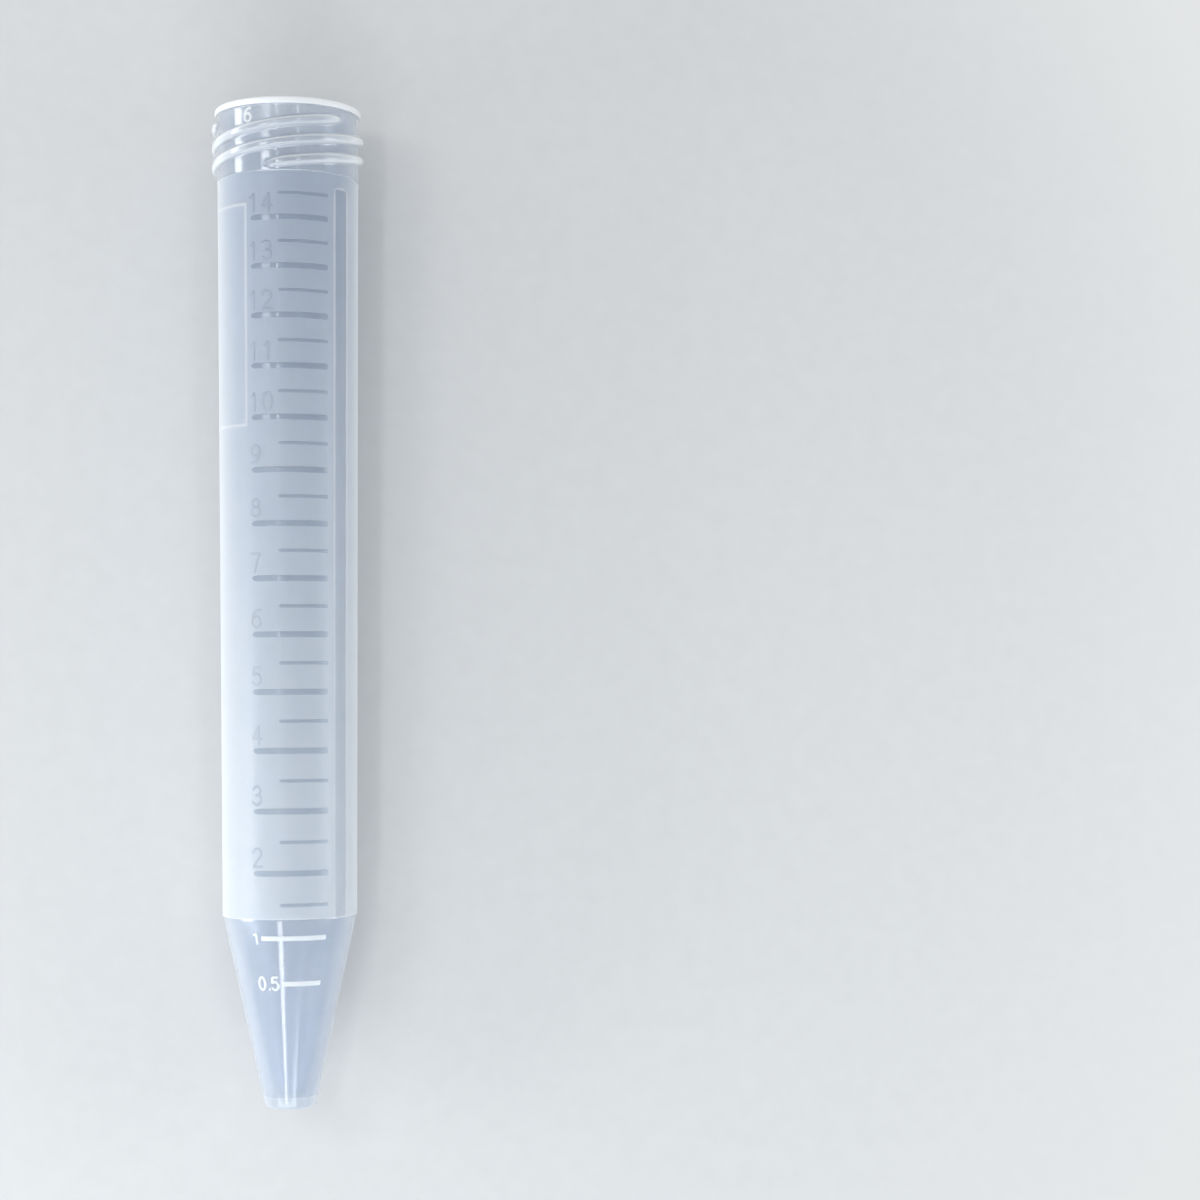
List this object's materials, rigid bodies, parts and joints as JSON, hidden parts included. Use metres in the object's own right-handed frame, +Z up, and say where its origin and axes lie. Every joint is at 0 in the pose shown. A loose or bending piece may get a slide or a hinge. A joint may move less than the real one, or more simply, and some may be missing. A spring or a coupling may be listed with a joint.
{
  "type": "conical centrifuge tube",
  "caption": "Slender plastic test tube with a threaded open neck, a frosted body with raised volume marks, and a clear conical end with a small flat tip.",
  "frame": {"origin": "middle of the footprint of the tube lying on its side, on the surface that it lies on", "axes": "+Y along the tube towards its open mouth, +Z up, on the side with the volume marks, +X to the right of the marks as they are read"},
  "size_m": [0.0184, 0.1202, 0.0184],
  "materials": {
    "polypropylene": "translucent polypropylene: frosted body, glossy clear neck and cone"
  },
  "bodies": {
    "root": {"tube": "polypropylene"}
  },
  "joints": []
}
